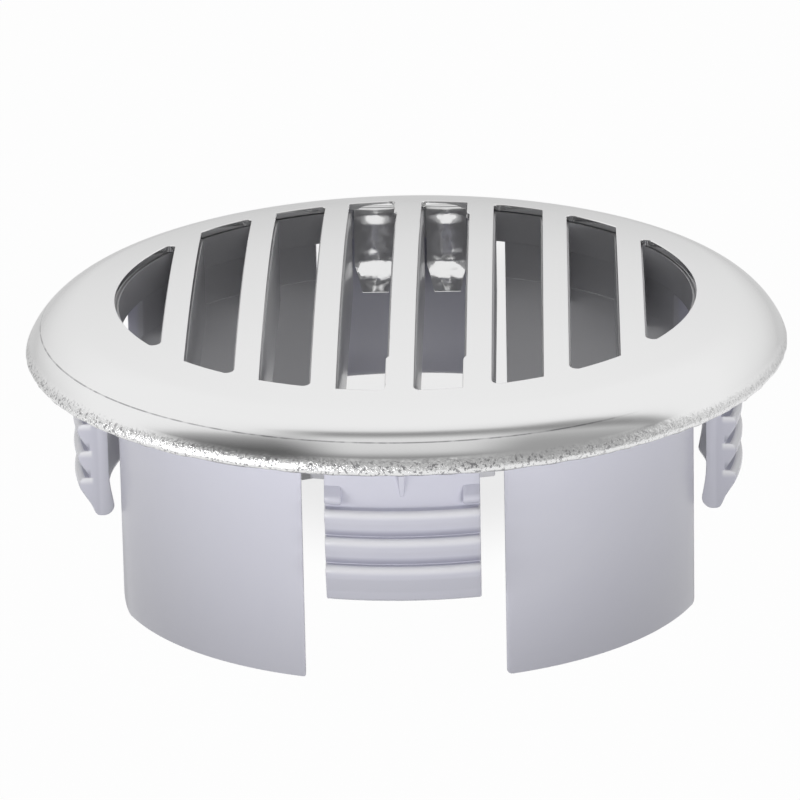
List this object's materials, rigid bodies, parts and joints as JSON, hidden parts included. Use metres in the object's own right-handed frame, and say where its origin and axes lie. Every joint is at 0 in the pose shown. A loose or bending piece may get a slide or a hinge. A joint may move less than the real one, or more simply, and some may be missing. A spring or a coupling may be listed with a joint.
{
  "type": "round vent cover",
  "caption": "Round snap-in air vent cover: domed polished metal face with parallel slots, crimped over a moulded plastic insert with curved wall panels and barbed spring clips.",
  "frame": {"origin": "on the axis, at the level of the wall panels' lower edges, where the vent stands when it lies loose", "axes": "+Z along the axis, out of the domed face; +Y along the slots; +X across the slots"},
  "size_m": [0.061, 0.061, 0.0258],
  "materials": {
    "cover_metal": "polished pressed sheet metal, rough at the crimped edge",
    "insert_plastic": "glossy white moulded plastic with a cool tint"
  },
  "bodies": {
    "root": {"cover_plate": "cover_metal", "snap_insert": "insert_plastic"}
  },
  "joints": []
}
